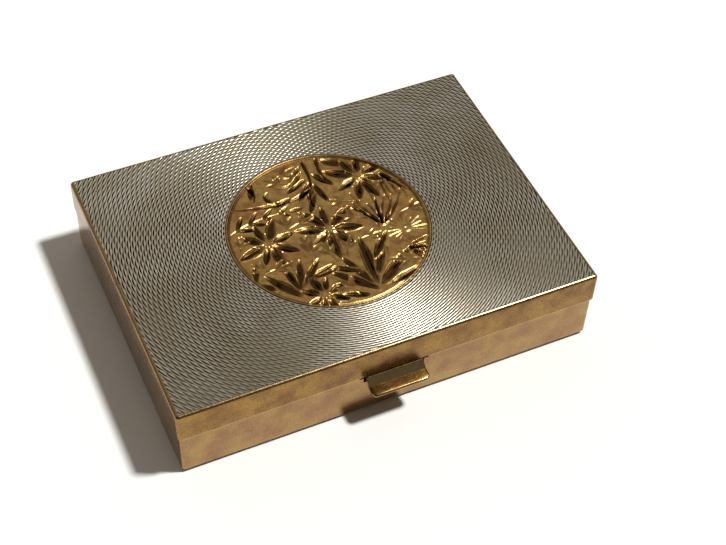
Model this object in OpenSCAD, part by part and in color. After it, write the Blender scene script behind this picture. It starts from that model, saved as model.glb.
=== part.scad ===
// Powder compact: a flat hinged case with an engine-turned lid, a mirror, and a powder well
// under a self-opening inner door.
// X is the width, -Y the front with the thumb catch, +Y the hinge side, Z up from the table.

/* [Case] */
// Width of the lid, side to side
case_w = 70; // [58:1:84]
// Depth of the lid, front to back
case_d = 51.3; // [43:0.1:61.5]
// Height of the lid, from its skirt edge to its top plate
lid_h = 5.5; // [4.6:0.1:6.6]
// Height of the base, from the table to its rim
base_h = 8.8; // [7.3:0.1:10.6]
// Gap between the closed lid and the rim of the base
seam_gap = 0.1; // [0.05:0.05:0.2]
// How far the lid stands out past the base at the front and the sides
overhang = 0.25; // [0.1:0.05:0.5]
// Sheet thickness of the two shells
wall_t = 0.6; // [0.5:0.05:0.75]
// Radius of the upright corners and of the top and bottom edges
corner_r = 0.6; // [0.5:0.05:1]

/* [Foot] */
// How far the pressed foot stands down from the base
foot_h = 0.3; // [0.2:0.05:0.4]
// How far the foot lies inside the base's outline
foot_inset = 1; // [0.8:0.1:1.3]

/* [Lid plate] */
// Thickness of the engine-turned plate
panel_t = 0.4; // [0.3:0.05:0.5]
// Diameter of the engraved medallion
medallion_dia = 33; // [24:1:40]
// Height of the medallion's rim above the plate
bead_h = 0.15; // [0.05:0.05:0.3]
// Width of the medallion's rim
bead_w = 0.5; // [0.3:0.1:1]
// Depth of the medallion's ground below the plate
ground_drop = 0.08; // [0.05:0.01:0.15]
// Gap round the medallion
medallion_fit = 0.05; // [0.02:0.01:0.1]

/* [Mirror] */
// Thickness of the mirror glass
mirror_t = 1.2; // [0.8:0.1:1.4]
// Thickness of the card behind the glass
backing_t = 0.3; // [0.2:0.05:0.5]
// Sheet thickness of the mirror's frame
frame_t = 0.35; // [0.25:0.05:0.5]
// How far the frame's lip covers the glass
frame_lip = 1.6; // [1:0.1:3]
// Gap round the glass and round the frame
mirror_fit = 0.05; // [0.03:0.01:0.1]

/* [Hinge] */
// Length of the row of hinge knuckles
hinge_l = 40; // [30:1:48]
// Number of hinge knuckles, the outer ones on the base
knuckles = 5; // [3:2:9]
// Outer radius of a knuckle
knuckle_r = 1; // [0.9:0.05:1.2]
// Radius of the hinge pin
pin_r = 0.4; // [0.3:0.05:0.5]
// Running clearance of the pin in a moving knuckle
pin_play = 0.03; // [0.02:0.01:0.08]
// Gap between neighbouring knuckles
knuckle_gap = 0.12; // [0.08:0.02:0.3]
// Thickness of the hinge leaves
leaf_t = 0.4; // [0.3:0.05:0.45]
// Reach of the hinge leaves along the walls, from the hinge axis
leaf_h = 3.2; // [2.8:0.1:3.4]

/* [Inner frame] */
// Height of the inner frame above the rim of the base
deck_rise = 0.8; // [0.6:0.1:1]
// Sheet thickness of the inner frame
deck_t = 0.5; // [0.4:0.05:0.6]
// Depth of the inner frame's skirt inside the base
deck_skirt = 4; // [3:0.1:4.5]
// Gap between the inner frame and the base
deck_fit = 0.05; // [0.03:0.01:0.1]
// Gap between the inner frame and the hinge leaves
deck_back_gap = 0.2; // [0.1:0.05:0.4]

/* [Powder well] */
// Sheet thickness of the well
well_t = 0.4; // [0.3:0.05:0.5]
// Width of the flange round the well
flange_w = 1; // [0.8:0.1:1.4]
// Free strip between the well and each side wall of the base
side_strip = 2.6; // [2.2:0.1:4]
// Free strip between the well and the front wall, for the catch
catch_strip = 4.25; // [4:0.05:6]
// Free strip behind the well, for the door's hinge
hinge_strip = 4.4; // [4.2:0.1:6]
// Height kept over the sifter for the puff
puff_room = 3.8; // [3.4:0.1:4.2]
// Width of the ledge that carries the sifter
ledge_w = 0.8; // [0.5:0.1:1.2]
// Gap between the powder and the sifter's net
powder_gap = 0.4; // [0.3:0.1:0.8]
// Radius of the well's upright corners
well_r = 2.5; // [1.5:0.1:4]

/* [Sifter and puff] */
// Thickness of the sifter's frame
sifter_t = 0.4; // [0.3:0.05:0.5]
// Width of the sifter frame's border
sifter_border = 4; // [3:0.5:6]
// Thickness of the sifter's net
net_t = 0.15; // [0.1:0.05:0.2]
// Thickness of the puff's velour pad
puff_t = 2.3; // [1.6:0.1:2.4]
// Thickness of the puff's satin back
satin_t = 0.3; // [0.2:0.05:0.4]
// Gap between the puff and the walls of the well
puff_gap = 2; // [1:0.5:5]
// Width of the ribbon across the puff
ribbon_w = 10; // [6:1:16]
// Thickness of the ribbon
ribbon_t = 0.3; // [0.2:0.05:0.35]

/* [Powder door] */
// Thickness of the inner door
door_t = 0.45; // [0.35:0.05:0.5]
// How far the door covers the well's flange
door_cover = 0.7; // [0.5:0.1:0.9]
// Gap round the door
door_gap = 0.15; // [0.1:0.05:0.25]
// Length of the row of the door's knuckles
door_hinge_l = 24; // [18:1:30]
// Outer radius of the door's knuckles
door_knuckle_r = 0.55; // [0.5:0.05:0.6]
// Radius of the door's hinge pin
door_pin_r = 0.25; // [0.2:0.05:0.3]
// Wire diameter of the door's spring
spring_wire = 0.2; // [0.15:0.05:0.25]
// Turns of the door's spring
spring_turns = 9; // [5:1:14]

/* [Catch] */
// Width of the thumb tab
tab_w = 9.6; // [8:0.2:12]
// How far the thumb tab stands out from the base
tab_out = 3.2; // [2.4:0.1:4]
// Width of the hook and of the striker
hook_w = 6; // [4:0.5:7]
// Height of the catch pivot above the floor of the base
pivot_h = 2; // [1.6:0.1:2.4]
// Radius of the catch pin
catch_pin_r = 0.5; // [0.4:0.05:0.6]
// Outer radius of the lever's knuckle
catch_knuckle_r = 0.9; // [0.8:0.05:1]
// Sheet thickness of the lever, its bracket and the striker
catch_t = 0.4; // [0.3:0.05:0.5]
// Thickness of the catch's leaf spring
catch_spring_t = 0.2; // [0.15:0.05:0.25]
// Clearance between the hook and the striker
hook_gap = 0.08; // [0.05:0.01:0.15]

/* [Hidden] */
$fn = 48;
// a small lap between joined shapes, and how far a cutting shape runs past what it cuts
eps = 0.01;
past = 1;

// heights
floor_z = wall_t;
rim_z = base_h;
seam_z = base_h + seam_gap;
top_z = seam_z + lid_h;
plate_z = top_z - panel_t;
ceiling_z = plate_z - wall_t;
axis_z = (rim_z + seam_z) / 2;

// outlines of the shells: the lid is centred, the base is flush with it at the back only
lid_back_y = case_d / 2;
lid_in_x = case_w / 2 - wall_t;
lid_in_front = -case_d / 2 + wall_t;
lid_in_back = lid_back_y - wall_t;
base_w = case_w - 2 * overhang;
base_d = case_d - overhang;
base_front = -case_d / 2 + overhang;
base_mid_y = overhang / 2;
base_in_x = base_w / 2 - wall_t;
base_in_front = base_front + wall_t;
least_in_r = 0.15;
in_r = max(corner_r - wall_t, least_in_r);

// lid plate and medallion
medallion_r = medallion_dia / 2;

// mirror
frame_x = lid_in_x - mirror_fit;
frame_front = lid_in_front + mirror_fit;
frame_back = lid_in_back - leaf_t - 2 * mirror_fit;
glass_x = frame_x - frame_t - mirror_fit;
glass_front = frame_front + frame_t + mirror_fit;
glass_back = frame_back - frame_t - mirror_fit;
glass_top = ceiling_z - backing_t;
glass_z = glass_top - mirror_t;
lip_z = glass_z - frame_t;

// main hinge
axis_y = lid_back_y;
knuckle_l = (hinge_l - (knuckles - 1) * knuckle_gap) / knuckles;
hinge_clear = 0.2;
leaf_y = lid_in_back - leaf_t;
hinge_front = min(leaf_y, axis_y - knuckle_r);
pin_end = 0.1;

// inner frame
deck_top = rim_z + deck_rise;
deck_under = deck_top - deck_t;
deck_x = base_in_x - deck_fit;
deck_front = base_in_front + deck_fit;
deck_back = hinge_front - deck_back_gap;
deck_side_t = 0.4;

// powder well, inside faces
well_x = base_in_x - side_strip - well_t;
well_front = base_in_front + catch_strip + well_t;
well_back = deck_back - hinge_strip - well_t;
well_floor = floor_z + well_t;
ledge_z = deck_under - puff_room - sifter_t;
flange_z = deck_under - well_t;
low_x = well_x - ledge_w;
low_front = well_front + ledge_w;
low_back = well_back - ledge_w;
sifter_fit = 0.1;
net_lap = 1;

// puff
puff_z = ledge_z + sifter_t + sifter_fit;
puff_x = well_x - puff_gap;
puff_front = well_front + puff_gap;
puff_back = well_back - puff_gap;

// powder door
door_x = well_x + door_cover;
door_front = well_front - door_cover;
door_back = well_back + door_cover;
door_z = deck_top - door_t;
door_axis_out = 1;
door_axis_lift = 0.05;
door_axis_y = door_back + door_axis_out;
door_axis_z = deck_top + door_knuckle_r + door_axis_lift;
door_knuckles = 5;
door_knuckle_l = (door_hinge_l - (door_knuckles - 1) * knuckle_gap) / door_knuckles;
tongue_lift = 0.08;
spring_r = door_pin_r + spring_wire;
coil_pitch = 1.5 * spring_wire;
spring_l = spring_turns * coil_pitch;
leg_l = 3;
leg_room = 1.1;
wire_sides = 6;
leg_play = 0.1;
leg_groove = spring_wire + leg_play;
leg_touch = 0.02;
leg_bend = 0.8;
coil_steps = 12;
door_leaf_t = 0.3;
door_leaf_end = 1;
door_leaf_gap = 0.3;
door_leaf_notch = 0.7;
door_pin_end = 0.2;

// catch: the lever stands behind the front wall and its hook reaches towards the lid's wall
pivot_z = floor_z + pivot_h;
striker_out = 0.65;
striker_lift = 0.25;
striker_z = seam_z + striker_lift;
hook_over = 0.15;
hook_z = striker_z + catch_t + hook_over;
hook_front = lid_in_front + striker_out + hook_gap;
bracket_fit = 0.05;
bracket_front = base_front + foot_inset + wall_t + bracket_fit;
pivot_cover = 0.2;
pivot_y = bracket_front + catch_pin_r + pivot_cover;
lever_y = pivot_y - catch_knuckle_r;
tab_drop = 0.2;
tab_root_z = rim_z - tab_drop;
tab_root_t = 0.45;
slot_play = 0.3;
slot_below = 0.9;
notch_w = 0.7;
notch_h = 0.55;
catch_gap = 0.15;
cheek_x = tab_w / 2 + catch_gap;
bracket_short = 0.35;
bracket_back = base_in_front + catch_strip - bracket_short;
bay_gap = 0.7;
bay_behind = 1.1;
deck_bay_x = cheek_x + catch_t + bay_gap;
deck_bay_back = pivot_y + bay_behind;
catch_pin_end = 0.2;
// the leaf spring: its foot, the bend over the foot, and the pad that touches the lever
spring_back_gap = 0.1;
spring_foot_l = 0.8;
spring_bend = 0.5;
spring_bend_out = 0.6;
pad_drop = 1;
pad_h = 0.3;
pad_rise = 0.5;
pad_t = 0.25;
// the tab's side view for a reach of drawn_out: how far out, and how far up from its root
drawn_out = 3.2;
tab_above = [[0, 0], [0.25, 0], [1.05, -0.95], [1.7, -1.35], [2.5, -1.3], [3.05, -0.98], [3.2, -1.1]];
tab_below = [[3.16, -1.68], [2.6, -1.86], [1.7, -1.84], [0.85, -1.5], [0.1, -tab_root_t]];

// ---- shared shapes ----

// A rectangle with round corners, exact arcs
module round_rect(w, d, r) {
    square([w - 2 * r, d], center = true);
    square([w, d - 2 * r], center = true);
    for (sx = [-1, 1], sy = [-1, 1])
        translate([sx * (w / 2 - r), sy * (d / 2 - r)]) circle(r);
}

// A flat slab between two heights, given by its half width and its front and back
module slab(x, front, back, low, high, r) {
    translate([0, (front + back) / 2, low])
        linear_extrude(high - low) round_rect(2 * x, back - front, r);
}

// A box between two corners
module block(low, high) {
    translate(low) cube(high - low);
}

// A rod along X
module rod_x(r, x1, x2, y, z) {
    translate([x1, y, z]) rotate([0, 90, 0]) cylinder(r = r, h = x2 - x1);
}

// A slab whose upper edges and upright corners share one radius
module soft_slab(w, d, h, r) {
    linear_extrude(h - r) round_rect(w, d, r);
    translate([0, 0, h / 2]) cube([w - 2 * r, d - 2 * r, h], center = true);
    for (s = [-1, 1]) {
        rod_x(r, r - w / 2, w / 2 - r, s * (d / 2 - r), h - r);
        translate([s * (w / 2 - r), d / 2 - r, h - r]) rotate([90, 0, 0]) cylinder(r = r, h = d - 2 * r);
        for (t = [-1, 1])
            translate([s * (w / 2 - r), t * (d / 2 - r), h - r]) sphere(r);
    }
}

// Every second knuckle of a row: odd = 0 gives the outer ones, odd = 1 those between
module knuckle_row(count, length, pitch, odd, r, y, z) {
    for (k = [odd : 2 : count - 1])
        rod_x(r, first_x(count, length, pitch) + k * pitch,
            first_x(count, length, pitch) + k * pitch + length, y, z);
}
function first_x(count, length, pitch) = -((count - 1) * pitch + length) / 2;

// The tongues that join every second knuckle to its leaf
module tongue_row(count, length, pitch, odd, low, high) {
    for (k = [odd : 2 : count - 1])
        block([first_x(count, length, pitch) + k * pitch, low[0], low[1]],
            [first_x(count, length, pitch) + k * pitch + length, high[0], high[1]]);
}

// The slot across both back walls that the main hinge's knuckles lie in
module hinge_slot() {
    block([-hinge_l / 2 - hinge_clear, lid_in_back - eps, axis_z - knuckle_r - hinge_clear],
        [hinge_l / 2 + hinge_clear, lid_back_y + eps, axis_z + knuckle_r + hinge_clear]);
}

// ---- base ----

module base_shell() {
    color("darkgoldenrod") difference() {
        union() {
            translate([0, base_mid_y, rim_z]) mirror([0, 0, 1])
                soft_slab(base_w, base_d, rim_z - foot_h, corner_r);
            slab(base_w / 2 - foot_inset, base_front + foot_inset, lid_back_y - foot_inset,
                0, foot_h + eps, corner_r);
        }
        slab(base_in_x, base_in_front, lid_in_back, foot_h + wall_t, rim_z + past, in_r);
        slab(base_w / 2 - foot_inset - wall_t, base_front + foot_inset + wall_t,
            lid_back_y - foot_inset - wall_t, floor_z, rim_z, in_r);
        hinge_slot();
        tab_slot();
    }
}

// The stepped slot in the front wall that the thumb tab comes out of
module tab_slot() {
    half = tab_w / 2 + slot_play;
    block([-half, base_front - past, tab_root_z - tab_root_t - slot_below],
        [half, base_in_front + eps, rim_z + past]);
    block([-half - notch_w, base_front - past, rim_z - notch_h],
        [half + notch_w, base_in_front + eps, rim_z + past]);
}

module base_deck() {
    color("goldenrod") difference() {
        slab(deck_x, deck_front, deck_back, deck_top - deck_t - deck_skirt, deck_top, in_r);
        slab(deck_x - deck_side_t, deck_front + deck_side_t, deck_back - deck_side_t,
            deck_top - deck_t - deck_skirt - past, deck_under, in_r);
        slab(door_x + door_gap, door_front - door_gap, door_back + door_gap,
            deck_under - past, deck_top + past, well_r);
        block([-deck_bay_x, deck_front - past, deck_under - deck_skirt - past],
            [deck_bay_x, deck_bay_back, deck_top + past]);
    }
}

module powder_well() {
    color("gold") difference() {
        union() {
            slab(well_x + well_t, well_front - well_t, well_back + well_t,
                ledge_z - well_t, deck_under, well_r + well_t);
            slab(low_x + well_t, low_front - well_t, low_back + well_t, floor_z, ledge_z, well_r + well_t);
            slab(well_x + well_t + flange_w, well_front - well_t - flange_w,
                well_back + well_t + flange_w, flange_z, deck_under, well_r + well_t + flange_w);
        }
        slab(well_x, well_front, well_back, ledge_z, deck_under + past, well_r);
        slab(low_x, low_front, low_back, well_floor, ledge_z + past, well_r);
    }
}

module powder_fill() {
    color("bisque") slab(low_x, low_front, low_back, well_floor, ledge_z - net_t - powder_gap, well_r);
}

module sifter_frame() {
    color("khaki") difference() {
        slab(well_x - sifter_fit, well_front + sifter_fit, well_back - sifter_fit,
            ledge_z, ledge_z + sifter_t, well_r);
        slab(well_x - sifter_border, well_front + sifter_border, well_back - sifter_border,
            ledge_z - past, ledge_z + sifter_t + past, well_r);
    }
}

module sifter_net() {
    reach = sifter_border - net_lap;
    color("wheat") slab(well_x - reach, well_front + reach, well_back - reach,
        ledge_z - net_t, ledge_z, well_r);
}

module puff_pad() {
    color("linen") slab(puff_x, puff_front, puff_back, puff_z, puff_z + puff_t, well_r);
}

module puff_back() {
    color("mistyrose")
        slab(puff_x, puff_front, puff_back, puff_z + puff_t, puff_z + puff_t + satin_t, well_r);
}

module puff_ribbon() {
    color("pink") block([-puff_x, (puff_front + puff_back - ribbon_w) / 2, puff_z + puff_t + satin_t],
        [puff_x, (puff_front + puff_back + ribbon_w) / 2, puff_z + puff_t + satin_t + ribbon_t]);
}

// ---- powder door ----

door_pitch = door_knuckle_l + knuckle_gap;

module powder_door() {
    color("gold") difference() {
        union() {
            slab(door_x, door_front, door_back, door_z, deck_top, well_r);
            tongue_row(door_knuckles, door_knuckle_l, door_pitch, 1,
                [door_back - past, deck_top - eps], [door_back, door_axis_z - door_pin_r]);
            tongue_row(door_knuckles, door_knuckle_l, door_pitch, 1,
                [door_back - past, deck_top + tongue_lift], [door_axis_y, door_axis_z - door_pin_r]);
            knuckle_row(door_knuckles, door_knuckle_l, door_pitch, 1, door_knuckle_r,
                door_axis_y, door_axis_z);
        }
        rod_x(door_pin_r + pin_play, -door_hinge_l, door_hinge_l, door_axis_y, door_axis_z);
        block([-spring_l / 2 - leg_groove, door_axis_y - leg_l - leg_groove, door_z - past],
            [leg_groove - spring_l / 2, door_axis_y, door_z + leg_groove]);
        block([-door_knuckle_l / 2, door_back - door_leaf_notch, door_z - past],
            [door_knuckle_l / 2, door_back + past, deck_top + past]);
    }
}

module door_hinge_leaf() {
    leaf_back = deck_back - door_leaf_gap;
    color("gold") difference() {
        union() {
            block([-door_hinge_l / 2 - door_leaf_end, door_axis_y + door_knuckle_r + hinge_clear, deck_top],
                [door_hinge_l / 2 + door_leaf_end, leaf_back, deck_top + door_leaf_t]);
            for (k = [0, door_knuckles - 1])
                translate([first_x(door_knuckles, door_knuckle_l, door_pitch) + k * door_pitch, 0, 0]) {
                    block([0, door_axis_y, deck_top], [door_knuckle_l, leaf_back, deck_top + door_leaf_t]);
                    rod_x(door_knuckle_r, 0, door_knuckle_l, door_axis_y, door_axis_z);
                    block([0, door_axis_y - door_knuckle_r / 2, deck_top],
                        [door_knuckle_l, door_axis_y + door_knuckle_r, door_axis_z - door_pin_r]);
                }
        }
        rod_x(door_pin_r, -door_hinge_l, door_hinge_l, door_axis_y, door_axis_z);
        block([spring_l / 2 - leg_groove, door_axis_y, deck_top - past],
            [spring_l / 2 + leg_groove, door_axis_y + door_knuckle_r + leg_room + leg_play, door_axis_z]);
    }
}

module door_hinge_pin() {
    color("silver")
        rod_x(door_pin_r, -door_hinge_l / 2 - door_pin_end, door_hinge_l / 2 + door_pin_end,
            door_axis_y, door_axis_z);
}

// A torsion spring: a coil round the pin, one leg back along the frame and one under the door
function ring_at(p, side, r) = [for (k = [0 : wire_sides - 1])
    p + r * cos(360 * k / wire_sides) * [1, 0, 0] + r * sin(360 * k / wire_sides) * [0, side[0], side[1]]];

module door_spring() {
    steps = coil_steps;
    total = spring_turns * steps;
    bottom = door_axis_z - spring_r;
    under = door_z + spring_wire / 2 + leg_touch;
    back_leg = [[spring_l / 2, door_axis_y + door_knuckle_r + leg_room, bottom]];
    coil = [for (k = [0 : total]) [spring_l * (0.5 - k / total),
        door_axis_y - spring_r * sin(360 * k / steps), door_axis_z - spring_r * cos(360 * k / steps)]];
    front_leg = [[-spring_l / 2, door_back + leg_play, bottom],
        [-spring_l / 2, door_back - leg_bend, under],
        [-spring_l / 2, door_axis_y - leg_l, under]];
    sides = concat([[0, 1]], [for (k = [0 : total]) [sin(360 * k / steps), cos(360 * k / steps)]],
        [[0, 1], [0, 1], [0, 1]]);
    path = concat(back_leg, coil, front_leg);
    last = len(path) - 1;
    points = [for (i = [0 : last]) each ring_at(path[i], sides[i], spring_wire / 2)];
    walls = [for (i = [0 : last - 1], k = [0 : wire_sides - 1])
        let (a = i * wire_sides, n = (k + 1) % wire_sides)
        [a + k, a + n, a + n + wire_sides, a + k + wire_sides]];
    ends = [[for (k = [wire_sides - 1 : -1 : 0]) k],
        [for (k = [0 : wire_sides - 1]) last * wire_sides + k]];
    color("dimgray") polyhedron(points, concat(walls, ends));
}

// ---- main hinge ----

main_pitch = knuckle_l + knuckle_gap;

module base_hinge_leaf() {
    color("darkkhaki") difference() {
        union() {
            block([-hinge_l / 2, leaf_y, axis_z - leaf_h],
                [hinge_l / 2, leaf_y + leaf_t, axis_z - knuckle_r - hinge_clear]);
            tongue_row(knuckles, knuckle_l, main_pitch, 0,
                [leaf_y, axis_z - leaf_h], [leaf_y + leaf_t, axis_z]);
            knuckle_row(knuckles, knuckle_l, main_pitch, 0, knuckle_r, axis_y, axis_z);
        }
        rod_x(pin_r, -hinge_l, hinge_l, axis_y, axis_z);
    }
}

module lid_hinge_leaf() {
    color("darkkhaki") difference() {
        union() {
            block([-hinge_l / 2, leaf_y, axis_z + knuckle_r + hinge_clear],
                [hinge_l / 2, leaf_y + leaf_t, axis_z + leaf_h]);
            tongue_row(knuckles, knuckle_l, main_pitch, 1,
                [leaf_y, axis_z], [leaf_y + leaf_t, axis_z + leaf_h]);
            knuckle_row(knuckles, knuckle_l, main_pitch, 1, knuckle_r, axis_y, axis_z);
        }
        rod_x(pin_r + pin_play, -hinge_l, hinge_l, axis_y, axis_z);
    }
}

module hinge_pin() {
    color("gray") rod_x(pin_r, -hinge_l / 2 - pin_end, hinge_l / 2 + pin_end, axis_y, axis_z);
}

// ---- lid ----

module lid_shell() {
    color("peru") difference() {
        translate([0, 0, seam_z]) soft_slab(case_w, case_d, lid_h, corner_r);
        slab(lid_in_x, lid_in_front, lid_in_back, seam_z - past, ceiling_z, in_r);
        slab(case_w / 2 - corner_r, corner_r - case_d / 2, case_d / 2 - corner_r,
            plate_z, top_z + past, in_r);
        hinge_slot();
    }
}

module lid_panel() {
    color("silver") difference() {
        slab(case_w / 2 - corner_r, corner_r - case_d / 2, case_d / 2 - corner_r, plate_z, top_z, in_r);
        translate([0, 0, plate_z - past]) cylinder(r = medallion_r + medallion_fit, h = panel_t + 2 * past);
    }
}

module medallion() {
    color("gold") {
        translate([0, 0, plate_z]) cylinder(r = medallion_r, h = panel_t - ground_drop);
        translate([0, 0, plate_z]) difference() {
            cylinder(r = medallion_r, h = panel_t + bead_h);
            translate([0, 0, -past]) cylinder(r = medallion_r - bead_w, h = panel_t + bead_h + 2 * past);
        }
    }
}

module mirror_backing() {
    color("tan") slab(glass_x, glass_front, glass_back, glass_top, ceiling_z, in_r);
}

module mirror_glass() {
    color("lightcyan") slab(glass_x, glass_front, glass_back, glass_z, glass_top, in_r);
}

module mirror_frame() {
    color("gold") difference() {
        slab(frame_x, frame_front, frame_back, lip_z, ceiling_z, in_r);
        slab(glass_x + mirror_fit, glass_front - mirror_fit, glass_back + mirror_fit,
            glass_z, ceiling_z + past, in_r);
        slab(glass_x - frame_lip, glass_front + frame_lip, glass_back - frame_lip,
            lip_z - past, glass_z + past, in_r);
    }
}

module lid_striker() {
    color("darkgray") {
        block([-hook_w / 2, lid_in_front, striker_z],
            [hook_w / 2, lid_in_front + catch_t, lip_z - mirror_fit]);
        block([-hook_w / 2, lid_in_front, striker_z],
            [hook_w / 2, lid_in_front + striker_out, striker_z + catch_t]);
    }
}

// ---- catch ----

module catch_lever() {
    color("darkgray") difference() {
        union() {
            rod_x(catch_knuckle_r, -tab_w / 2, tab_w / 2, pivot_y, pivot_z);
            block([-tab_w / 2, lever_y, pivot_z], [tab_w / 2, lever_y + catch_t, tab_root_z]);
            block([-hook_w / 2, lever_y, pivot_z], [hook_w / 2, lever_y + catch_t, hook_z + catch_t]);
            block([-hook_w / 2, hook_front, hook_z], [hook_w / 2, lever_y + eps, hook_z + catch_t]);
        }
        rod_x(catch_pin_r + pin_play, -tab_w, tab_w, pivot_y, pivot_z);
    }
}

// A sheet that leaves the slot, slopes down to a shallow trough and turns up into a lip
module thumb_tab() {
    reach = tab_out / drawn_out;
    root = [[lever_y, tab_root_z - tab_root_t], [lever_y, tab_root_z]];
    profile = concat([for (p = concat(tab_above, tab_below, [[0, -tab_root_t]]))
        [base_front - p[0] * reach, tab_root_z + p[1]]], root);
    color("goldenrod") translate([-tab_w / 2, 0, 0]) rotate([90, 0, 90])
        linear_extrude(tab_w) polygon(profile);
}

module catch_bracket() {
    color("darkgray") difference() {
        union() {
            block([-cheek_x - catch_t, bracket_front, floor_z],
                [cheek_x + catch_t, bracket_back, floor_z + catch_t]);
            for (s = [-1, 1])
                translate([s * (cheek_x + catch_t / 2), 0, 0])
                    block([-catch_t / 2, bracket_front, floor_z],
                        [catch_t / 2, pivot_y + catch_knuckle_r, pivot_z + catch_knuckle_r]);
        }
        rod_x(catch_pin_r, -tab_w, tab_w, pivot_y, pivot_z);
    }
}

module catch_pin() {
    color("gray") rod_x(catch_pin_r,
        -cheek_x - catch_t - catch_pin_end, cheek_x + catch_t + catch_pin_end, pivot_y, pivot_z);
}

// A leaf that stands on the bracket and leans on the back of the lever
module catch_spring() {
    back = bracket_back - spring_back_gap;
    foot = floor_z + catch_t;
    touch_z = tab_root_z - pad_drop;
    touch_y = lever_y + catch_t;
    inner = back - catch_spring_t;
    color("slategray") translate([-hook_w / 2, 0, 0]) rotate([90, 0, 90]) linear_extrude(hook_w)
        polygon([[back - spring_foot_l, foot], [back, foot], [back, foot + spring_bend_out],
            [touch_y + pad_t, touch_z + pad_rise], [touch_y, touch_z + pad_h], [touch_y, touch_z],
            [inner, foot + spring_bend], [inner, foot + catch_spring_t],
            [back - spring_foot_l, foot + catch_spring_t]]);
}

base_shell();
base_deck();
powder_well();
powder_fill();
sifter_frame();
sifter_net();
puff_pad();
puff_back();
puff_ribbon();
powder_door();
door_hinge_leaf();
door_hinge_pin();
door_spring();
base_hinge_leaf();
lid_hinge_leaf();
hinge_pin();
lid_shell();
lid_panel();
medallion();
mirror_backing();
mirror_glass();
mirror_frame();
lid_striker();
catch_lever();
thumb_tab();
catch_bracket();
catch_pin();
catch_spring();
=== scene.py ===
"""Looks of a powder compact with an engine-turned silver lid and a gilt floral disc."""
import math

import bmesh
import bpy
import numpy as np
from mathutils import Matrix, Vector, noise


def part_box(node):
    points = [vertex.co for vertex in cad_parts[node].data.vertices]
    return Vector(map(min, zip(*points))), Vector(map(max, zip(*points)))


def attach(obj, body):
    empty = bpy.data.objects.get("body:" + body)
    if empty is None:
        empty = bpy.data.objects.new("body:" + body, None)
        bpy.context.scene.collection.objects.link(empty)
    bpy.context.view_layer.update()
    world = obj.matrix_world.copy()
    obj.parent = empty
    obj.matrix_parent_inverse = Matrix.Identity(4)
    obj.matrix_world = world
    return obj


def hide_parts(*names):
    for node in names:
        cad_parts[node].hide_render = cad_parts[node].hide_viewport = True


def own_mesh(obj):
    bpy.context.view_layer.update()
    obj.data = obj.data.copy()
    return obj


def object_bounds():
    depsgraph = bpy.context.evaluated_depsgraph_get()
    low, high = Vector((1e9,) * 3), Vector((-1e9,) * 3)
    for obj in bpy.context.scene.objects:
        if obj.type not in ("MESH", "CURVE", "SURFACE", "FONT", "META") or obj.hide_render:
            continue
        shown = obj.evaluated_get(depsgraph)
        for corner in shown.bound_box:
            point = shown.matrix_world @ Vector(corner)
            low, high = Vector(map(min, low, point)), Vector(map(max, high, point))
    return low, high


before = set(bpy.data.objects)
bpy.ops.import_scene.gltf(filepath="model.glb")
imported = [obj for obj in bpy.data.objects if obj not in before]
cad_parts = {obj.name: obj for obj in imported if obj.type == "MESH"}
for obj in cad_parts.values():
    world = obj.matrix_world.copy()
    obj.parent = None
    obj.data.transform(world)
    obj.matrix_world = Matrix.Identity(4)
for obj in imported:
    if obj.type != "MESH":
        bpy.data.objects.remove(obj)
cad_low, cad_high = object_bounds()

MM = 0.001

# ---- the plate's engine turning: wavy cuts round the disc, each one half a wave out of step ----
CUT_PITCH = 0.41        # mm between two cuts
CUT_WAVES = 88          # waves of a cut in one turn
CUT_SWING = 0.1         # mm that a cut swings to each side
CUT_DEPTH = 0.12        # mm at the deepest place
CUT_SHALLOW = 0.3       # share of the depth that is left at the shallow place
CUT_SWELL = 1.3         # a higher power keeps a cut shallow for longer
FIRST_CUT = 0.2         # mm from the hole's edge to the first cut
DISC_GAP = 0.05         # mm of play between the disc and the plate's hole
STEPS_PER_WAVE = 6
RING_SHARES = (0.13, 0.34, 0.66, 0.87)  # rings of one pitch: cut, the crown's two edges, next cut
CROWN_REACH = 0.25      # a ring nearer than this to the pitch's middle lies on the crown
CROWN_DARK = 0.062      # mm over the deepest cut up to which tarnish is solid
CROWN_CLEAN = 0.007     # mm under the plate's top above which the silver is bright

# ---- the disc's relief, heights in mm over the disc's ground ----
DISC_STEPS = 304        # squares across the disc
HATCH = 0.46            # mm between the fine lines inside a cut leaf
LEAF_DEPTH = 0.3
RELIEF_LOW = -0.34
RELIEF_HIGH = 0.18
GROUND_DROP = 0.1       # the ground lies this far under the plate
GROUND_WAVER = 0.06     # unevenness left by the hand
BEAD_WIDTH = 0.42       # mm of the raised rim
RIM_GROOVE = 0.16       # mm, both the depth and the width of the groove inside the rim
RIM_FADE = 0.4          # mm over which the relief runs out towards the rim
HOLLOW_DARK = 0.32      # mm under the plate, below which the gold is brown
HOLLOW_CLEAN = 0.12     # mm under the plate, above which it is clean
SPRIGS = 210            # places tried for the small sprigs


# ---------------------------------------------------------------- small helpers

def linear(hexed):
    """An sRGB hex colour as linear red, green, blue and alpha."""
    parts = [int(hexed[i:i + 2], 16) / 255 for i in (1, 3, 5)]
    return [c / 12.92 if c <= 0.04045 else ((c + 0.055) / 1.055) ** 2.4 for c in parts] + [1.0]


def piece(name, points, faces, body, material, replaces=(), slot=None):
    """A mesh object made from points in metres, with its body, finish and the nodes it stands for."""
    mesh = bpy.data.meshes.new(name)
    mesh.from_pydata([tuple(p) for p in points], [], [tuple(f) for f in faces])
    mesh.validate()
    mesh.polygons.foreach_set("use_smooth", [True] * len(mesh.polygons))
    made = bpy.data.objects.new(name, mesh)
    bpy.context.scene.collection.objects.link(made)
    made.data.materials.append(material)
    if body:
        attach(made, body)
    if replaces:
        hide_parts(*replaces)
    return made


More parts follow.
